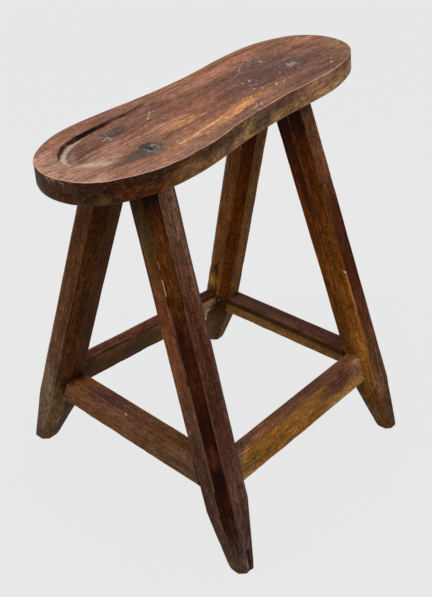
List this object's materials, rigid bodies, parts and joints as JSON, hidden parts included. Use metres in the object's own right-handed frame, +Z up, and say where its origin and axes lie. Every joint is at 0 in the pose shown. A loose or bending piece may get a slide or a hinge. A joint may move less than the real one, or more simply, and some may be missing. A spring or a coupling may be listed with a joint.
{
  "type": "saddle stool",
  "caption": "Hand-made hardwood straddle stool with a long sole-shaped plank seat, a carved dish at its wide end, splayed octagonal legs with wedged tenons, and low stretchers.",
  "frame": {"origin": "centre of the bounding box of the feet and seat on the ground plane", "axes": "+X along the seat from its wide dished end to its narrow end, +Y to the left side looking that way, +Z up"},
  "size_m": [0.46, 0.3918, 0.48],
  "materials": {
    "seat_wood": "reddish brown hardwood, worn and waxed, semi-matt",
    "leg_wood": "dark brown hardwood, worn and waxed, semi-matt",
    "wedge_wood": "dark end grain, semi-matt",
    "stretcher_wood": "brown hardwood, worn and waxed, semi-matt"
  },
  "bodies": {
    "root": {"seat": "seat_wood", "leg_wide_left": "leg_wood", "leg_wide_right": "leg_wood", "leg_narrow_left": "leg_wood", "leg_narrow_right": "leg_wood", "wedge_wide_left": "wedge_wood", "wedge_wide_right": "wedge_wood", "wedge_narrow_left": "wedge_wood", "wedge_narrow_right": "wedge_wood", "stretcher_left": "stretcher_wood", "stretcher_right": "stretcher_wood", "stretcher_wide_end": "stretcher_wood", "stretcher_narrow_end": "stretcher_wood"}
  },
  "joints": []
}
